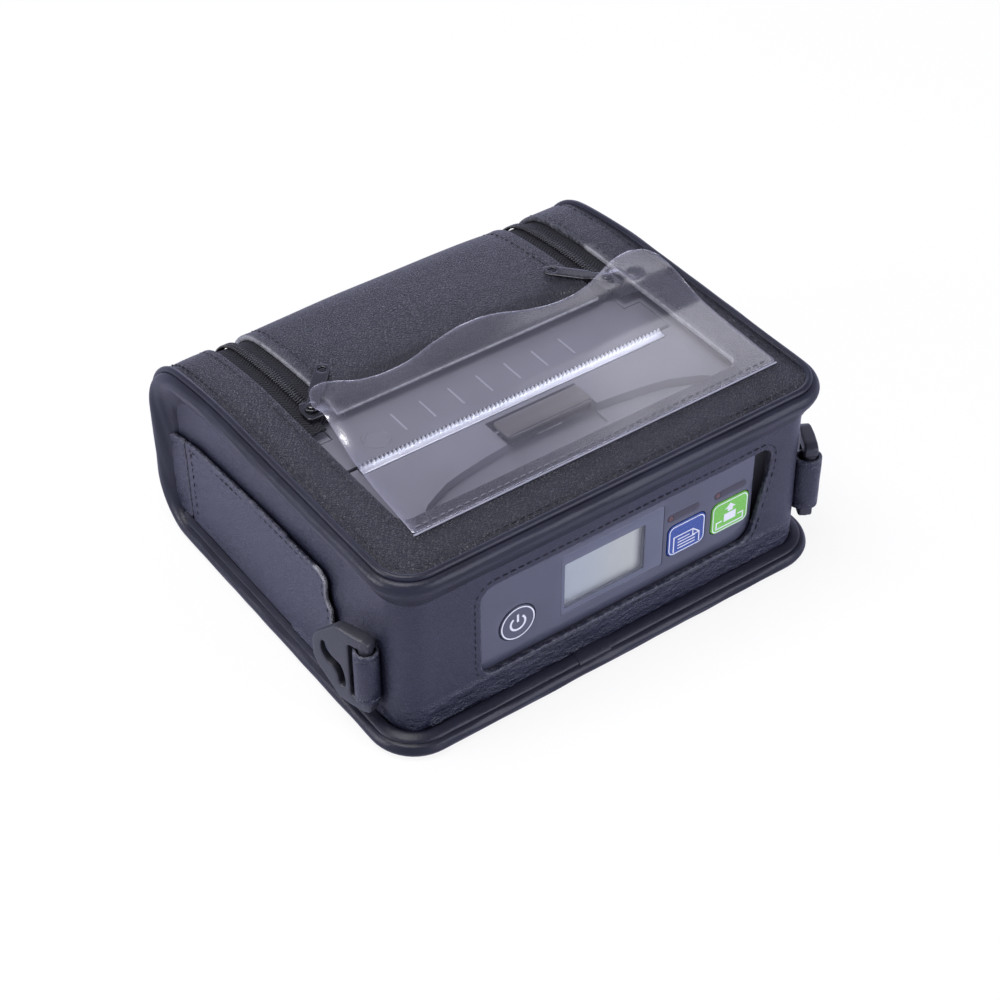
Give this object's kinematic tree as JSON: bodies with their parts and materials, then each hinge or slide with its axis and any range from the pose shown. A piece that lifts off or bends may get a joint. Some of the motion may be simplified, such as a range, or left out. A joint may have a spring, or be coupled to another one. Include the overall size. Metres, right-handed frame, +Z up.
{
  "type": "portable thermal printer",
  "caption": "Battery-powered thermal receipt printer in a sewn carrying case, with a clear top flap, a zipped rear flap, a front window for the panel, and strap rings.",
  "frame": {"origin": "middle of the underside: half way between the side walls, and half way between the front and rear ends of the edge roll", "axes": "+X to the object's right as seen from the front, the front with the control panel faces -Y, +Z is up"},
  "size_m": [0.181, 0.1492, 0.0753],
  "materials": {
    "leather": "grained artificial leather, satin",
    "edging": "smooth rolled edging",
    "clear_vinyl": "clear soft film",
    "zip_tape": "woven tape",
    "zip_teeth": "moulded coil",
    "slider_metal": "black enamel",
    "steel": "satin",
    "ring_plastic": "moulded",
    "shell": "fine texture",
    "battery_wrap": "shrink sleeve",
    "panel": "printed film",
    "panel_lens": "clear window",
    "display": "liquid crystal display",
    "print_key": "film over a key",
    "feed_key": "film over a key",
    "led": "diffused lens",
    "circuit": "solder mask",
    "dark_plastic": "moulded",
    "lever_grey": "fine texture",
    "ceramic": "glazed",
    "heat_sink": "milled",
    "rubber": "ground",
    "white_plastic": "moulded",
    "paper": "coated paper",
    "card": "wound card"
  },
  "bodies": {
    "case": {"case_band": "leather", "case_wrap_panel": "leather", "case_base_panel": "leather", "edge_roll": "edging", "seam_piping": "edging", "vinyl_hem": "edging", "zip_tape_case": "zip_tape", "zip_coil_case": "zip_teeth", "zip_end_stops": "steel", "side_flap_anchor": "leather", "side_flap_fastener": "zip_tape", "strap_loop_left": "leather", "strap_loop_right": "leather", "lower_shell": "shell", "upper_shell": "shell", "battery_door": "shell", "battery_pack": "battery_wrap", "control_panel": "panel", "lcd_lens": "panel_lens", "lcd_module": "display", "status_leds": "led", "panel_board": "circuit", "main_board": "circuit", "port_block": "dark_plastic", "tear_bar": "steel", "lever_pin": "steel", "lever_spring": "steel", "print_head": "ceramic", "head_sink": "heat_sink", "head_spring": "steel", "side_frames": "steel", "idler_stud": "steel", "motor": "steel", "lid_pin": "steel", "paper_cradle": "shell", "shell_screws": "steel"},
    "cover": {"vinyl_cover": "clear_vinyl"},
    "flap": {"rear_flap": "leather", "zip_tape_flap": "zip_tape", "zip_coil_flap": "zip_teeth"},
    "lid": {"paper_lid": "shell", "platen_bushes": "white_plastic"},
    "platen": {"platen_shaft": "steel", "platen_rubber": "rubber", "platen_gear": "steel"},
    "idler": {"idler_gear": "white_plastic"},
    "pinion": {"motor_pinion": "steel"},
    "roll": {"paper_roll": "paper", "paper_core": "card"},
    "lever": {"release_lever": "lever_grey"},
    "power": {"power_key": "panel"},
    "print": {"print_key": "print_key"},
    "feed": {"feed_key": "feed_key"},
    "slider_left": {"zip_slider_left": "slider_metal"},
    "slider_right": {"zip_slider_right": "slider_metal"},
    "pull_left": {"zip_pull_left": "slider_metal"},
    "pull_right": {"zip_pull_right": "slider_metal"},
    "port_flap": {"side_flap": "leather"},
    "ring_left": {"strap_ring_left": "ring_plastic"},
    "ring_right": {"strap_ring_right": "ring_plastic"}
  },
  "joints": [
    {"name": "rear_flap_hinge", "type": "hinge", "parent": "case", "child": "flap", "pos_m": [0, 0.07258, 0.01515], "axis": [1, 0, 0], "range_deg": [-95, 0]},
    {"name": "cover_lift", "type": "hinge", "parent": "case", "child": "cover", "pos_m": [0, -0.05468, 0.0721], "axis": [1, 0, 0], "range_deg": [0, 110]},
    {"name": "lid_hinge", "type": "hinge", "parent": "case", "child": "lid", "pos_m": [0, 0.06498, 0.044], "axis": [1, 0, 0], "range_deg": [-86, 0]},
    {"name": "platen_spin", "type": "hinge", "parent": "lid", "child": "platen", "pos_m": [0, -0.00983, 0.057], "axis": [1, 0, 0], "continuous": true},
    {"name": "idler_spin", "type": "hinge", "parent": "case", "child": "idler", "pos_m": [0.059, -0.01199, 0.04454], "axis": [1, 0, 0], "continuous": true},
    {"name": "motor_spin", "type": "hinge", "parent": "case", "child": "pinion", "pos_m": [0.059, -0.00808, 0.03378], "axis": [1, 0, 0], "continuous": true},
    {"name": "roll_spin", "type": "hinge", "parent": "case", "child": "roll", "pos_m": [0, 0.03118, 0.0328], "axis": [1, 0, 0], "continuous": true},
    {"name": "lever_press", "type": "hinge", "parent": "case", "child": "lever", "pos_m": [0, -0.02523, 0.0636], "axis": [1, 0, 0], "range_deg": [0, 12], "stiffness_Nm_per_rad": 0.06, "springref_deg": -8.59, "deforming": ["lever_spring"]},
    {"name": "power_press", "type": "slide", "parent": "case", "child": "power", "axis": [0, 1, 0], "range_m": [0, 0.0006], "stiffness_N_per_m": 600, "springref_m": -0.001},
    {"name": "print_press", "type": "slide", "parent": "case", "child": "print", "axis": [0, 1, 0], "range_m": [0, 0.0006], "stiffness_N_per_m": 600, "springref_m": -0.001},
    {"name": "feed_press", "type": "slide", "parent": "case", "child": "feed", "axis": [0, 1, 0], "range_m": [0, 0.0006], "stiffness_N_per_m": 600, "springref_m": -0.001},
    {"name": "zip_slide_left", "type": "slide", "parent": "flap", "child": "slider_left", "axis": [0, 1, 0], "range_m": [0, 0.028]},
    {"name": "zip_slide_right", "type": "slide", "parent": "flap", "child": "slider_right", "axis": [0, 1, 0], "range_m": [0, 0.028]},
    {"name": "pull_swing_left", "type": "hinge", "parent": "slider_left", "child": "pull_left", "pos_m": [-0.0566, 0.01043, 0.0717], "axis": [0, 0, 1], "range_deg": [-50, 80]},
    {"name": "pull_swing_right", "type": "hinge", "parent": "slider_right", "child": "pull_right", "pos_m": [0.0566, 0.01043, 0.0717], "axis": [0, 0, 1], "range_deg": [-80, 50]},
    {"name": "port_flap_hinge", "type": "hinge", "parent": "case", "child": "port_flap", "pos_m": [-0.0799, 0.05368, 0.024], "axis": [0, 0, 1], "range_deg": [-150, 0]},
    {"name": "ring_swing_left", "type": "hinge", "parent": "case", "child": "ring_left", "pos_m": [-0.0816, -0.05482, 0.026], "axis": [0, 0, 1], "range_deg": [-20, 150]},
    {"name": "ring_swing_right", "type": "hinge", "parent": "case", "child": "ring_right", "pos_m": [0.0816, -0.06516, 0.026], "axis": [0, 0, 1], "range_deg": [-160, 8]}
  ],
  "couplings": [
    {"joint": "cover_lift", "follows": "rear_flap_hinge", "ratio": -1.15},
    {"joint": "lid_hinge", "follows": "rear_flap_hinge", "ratio": 0.9},
    {"joint": "idler_spin", "follows": "platen_spin", "ratio": -0.75},
    {"joint": "motor_spin", "follows": "platen_spin", "ratio": 1.2857}
  ]
}
